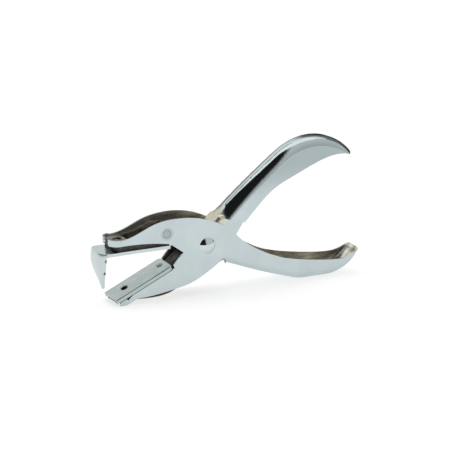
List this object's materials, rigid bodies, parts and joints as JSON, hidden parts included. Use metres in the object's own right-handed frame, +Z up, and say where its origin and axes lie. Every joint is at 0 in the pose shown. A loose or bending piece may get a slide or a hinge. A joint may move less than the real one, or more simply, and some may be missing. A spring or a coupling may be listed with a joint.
{
  "type": "plier-type hand punch",
  "caption": "Sprung plier-type hand punch of plated sheet steel, with a flat sloping anvil jaw, an upper jaw ending in a curved claw, and two trough-shaped handles.",
  "frame": {"origin": "bottom centre of the bounding box, on the surface that the punch stands on", "axes": "+X from the jaws to the handles, +Y across the sheet plates, +Z up"},
  "size_m": [0.1446, 0.0184, 0.0731],
  "materials": {
    "plated_sheet": "bright nickel-chrome plate on pressed sheet steel",
    "claw_steel": "bright plate with a faint grain",
    "rivet_steel": "bright plate on a formed rivet head",
    "anvil_steel": "satin nickel plate, slightly warm",
    "dark_steel": "blackened steel",
    "tool_steel": "ground tool steel",
    "spring_steel": "oiled spring wire",
    "tray_steel": "thin satin sheet, dark olive grey"
  },
  "bodies": {
    "frame": {"frame_shell": "plated_sheet", "claw_plate": "claw_steel", "claw_bracket": "dark_steel", "claw_cross_pin": "rivet_steel", "punch_holder": "dark_steel", "punch_pin": "tool_steel", "pivot_rivet": "rivet_steel", "pivot_bush": "tool_steel", "spring_coil": "spring_steel"},
    "lever": {"lever_shell": "plated_sheet", "anvil_plate": "anvil_steel", "die_bush": "tool_steel", "anvil_rivet": "anvil_steel", "chip_tray": "tray_steel", "spring_lever_leg": "spring_steel"}
  },
  "joints": [
    {"name": "squeeze", "type": "hinge", "parent": "frame", "child": "lever", "pos_m": [-0.0138, 0, 0.025], "axis": [0, 1, 0], "range_deg": [0, 24.3], "stiffness_Nm_per_rad": 0.2, "springref_deg": -25.21}
  ]
}
